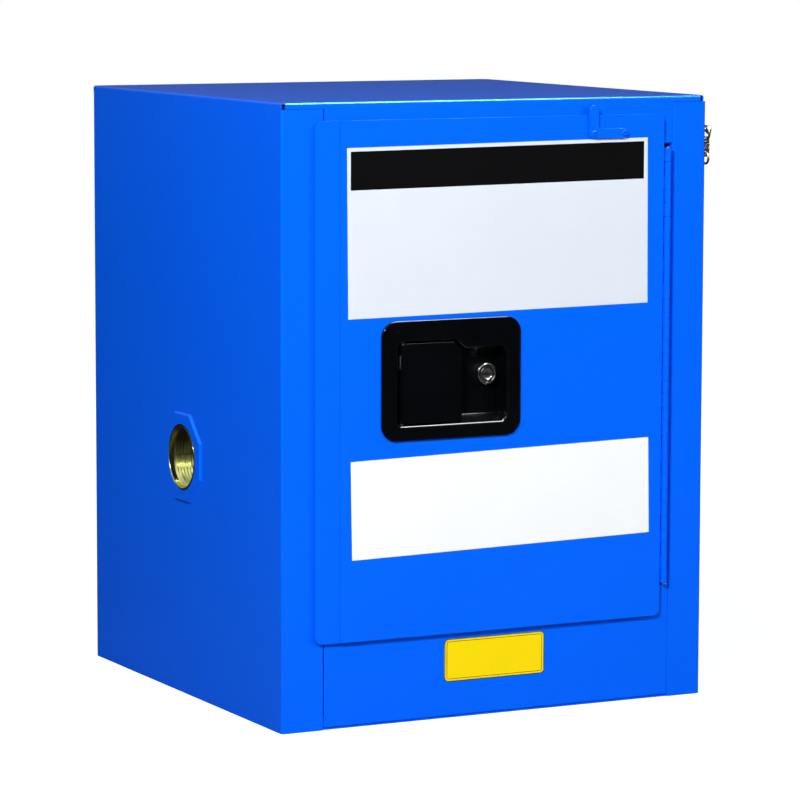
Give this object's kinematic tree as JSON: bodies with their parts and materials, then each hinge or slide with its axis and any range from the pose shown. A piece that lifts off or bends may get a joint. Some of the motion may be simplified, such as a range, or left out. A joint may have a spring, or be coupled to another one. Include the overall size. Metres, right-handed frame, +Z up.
{
  "type": "countertop acid safety cabinet",
  "caption": "Small double-wall steel cabinet for bottled acids, with one self-closing door, a locking paddle handle, a shelf, lift-out trays and side vents.",
  "frame": {"origin": "middle of the body's footprint, on the surface that the cabinet stands on", "axes": "+Z up, +X to the right seen from the front, +Y to the back; the door faces -Y"},
  "size_m": [0.4448, 0.436, 0.559],
  "materials": {
    "blue_paint": "smooth semi-gloss powder coat",
    "liner_paint": "smooth semi-gloss powder coat",
    "black_plastic": "satin moulded",
    "brass": "turned",
    "dark_steel": "dark woven screen",
    "zinc_steel": "zinc plated",
    "bronze": "dull",
    "chrome": "polished",
    "white_poly": "moulded polyethylene",
    "white_film": "printed vinyl film",
    "yellow_film": "printed vinyl film"
  },
  "bodies": {
    "cabinet": {"outer_left_panel": "blue_paint", "outer_right_panel": "blue_paint", "outer_top_panel": "blue_paint", "outer_back_panel": "blue_paint", "outer_bottom_panel": "blue_paint", "sill_panel": "blue_paint", "liner_left": "liner_paint", "liner_right": "liner_paint", "liner_top": "liner_paint", "liner_back": "liner_paint", "liner_floor": "liner_paint", "vent_bung_left": "brass", "vent_bung_right": "brass", "vent_sleeve_left": "zinc_steel", "vent_sleeve_right": "zinc_steel", "flame_arrester_left": "dark_steel", "flame_arrester_right": "dark_steel", "strike_plate": "zinc_steel", "strike_nuts": "zinc_steel", "hinge_frame_leaf": "blue_paint", "hinge_pin": "zinc_steel", "shelf_clips": "zinc_steel", "link_stud": "zinc_steel", "sill_label": "yellow_film"},
    "door": {"door_skin": "blue_paint", "door_inner_pan": "liner_paint", "door_stiffener": "zinc_steel", "hinge_door_leaf": "blue_paint", "hold_open_bracket": "blue_paint", "bracket_screws": "blue_paint", "handle_tray": "black_plastic", "tray_nuts": "zinc_steel", "paddle_pin": "zinc_steel", "paddle_spring": "zinc_steel", "lock_body": "chrome", "lock_nut": "zinc_steel", "latch_case": "zinc_steel", "latch_spring": "zinc_steel", "upper_label": "white_film", "lower_label": "white_film"},
    "paddle": {"handle_paddle": "black_plastic"},
    "latch": {"latch_bolt": "zinc_steel"},
    "lock": {"lock_plug": "chrome", "lock_cam": "zinc_steel", "cam_screw": "zinc_steel"},
    "shelf": {"shelf": "liner_paint"},
    "shelf_tray": {"shelf_tray": "white_poly"},
    "sump_tray": {"sump_tray": "white_poly"},
    "link_ring": {"link_upper_ring": "zinc_steel"},
    "link_strip": {"fusible_strip": "bronze"},
    "link_end": {"link_lower_ring": "zinc_steel"}
  },
  "joints": [
    {"name": "door_hinge", "type": "hinge", "parent": "cabinet", "child": "door", "pos_m": [0.1732, -0.2175, 0.3101], "axis": [0, 0, 1], "range_deg": [0, 175], "stiffness_Nm_per_rad": 0.8, "springref_deg": -20.05},
    {"name": "paddle_pull", "type": "hinge", "parent": "door", "child": "paddle", "pos_m": [-0.0973, -0.2135, 0.3087], "axis": [0, 0, -1], "range_deg": [0, 35], "stiffness_Nm_per_rad": 0.05, "springref_deg": -20.05},
    {"name": "latch_slide", "type": "slide", "parent": "door", "child": "latch", "axis": [1, 0, 0], "range_m": [0, 0.0101], "stiffness_N_per_m": 250, "springref_m": -0.02, "deforming": ["latch_spring"]},
    {"name": "lock_turn", "type": "hinge", "parent": "door", "child": "lock", "pos_m": [-0.0103, -0.201, 0.3121], "axis": [0, -1, 0], "range_deg": [-90, 0]},
    {"name": "shelf_lift", "type": "slide", "parent": "cabinet", "child": "shelf", "axis": [0, 0, 1], "range_m": [0, 0.05]},
    {"name": "shelf_tray_lift", "type": "slide", "parent": "shelf", "child": "shelf_tray", "axis": [0, 0, 1], "range_m": [0, 0.04]},
    {"name": "sump_tray_lift", "type": "slide", "parent": "cabinet", "child": "sump_tray", "axis": [0, 0, 1], "range_m": [0, 0.06]},
    {"name": "link_swing", "type": "hinge", "parent": "cabinet", "child": "link_ring", "pos_m": [0.2222, -0.203, 0.5265], "axis": [1, 0, 0], "range_deg": [-10, 60]},
    {"name": "strip_swing", "type": "hinge", "parent": "link_ring", "child": "link_strip", "pos_m": [0.2222, -0.203, 0.5171], "axis": [0, -1, 0], "range_deg": [0, 90]},
    {"name": "link_end_swing", "type": "hinge", "parent": "link_strip", "child": "link_end", "pos_m": [0.2222, -0.203, 0.5051], "axis": [0, -1, 0], "range_deg": [-25, 90]}
  ],
  "couplings": [
    {"joint": "paddle_pull", "follows": "latch_slide", "rad_per_m": 60.48}
  ]
}
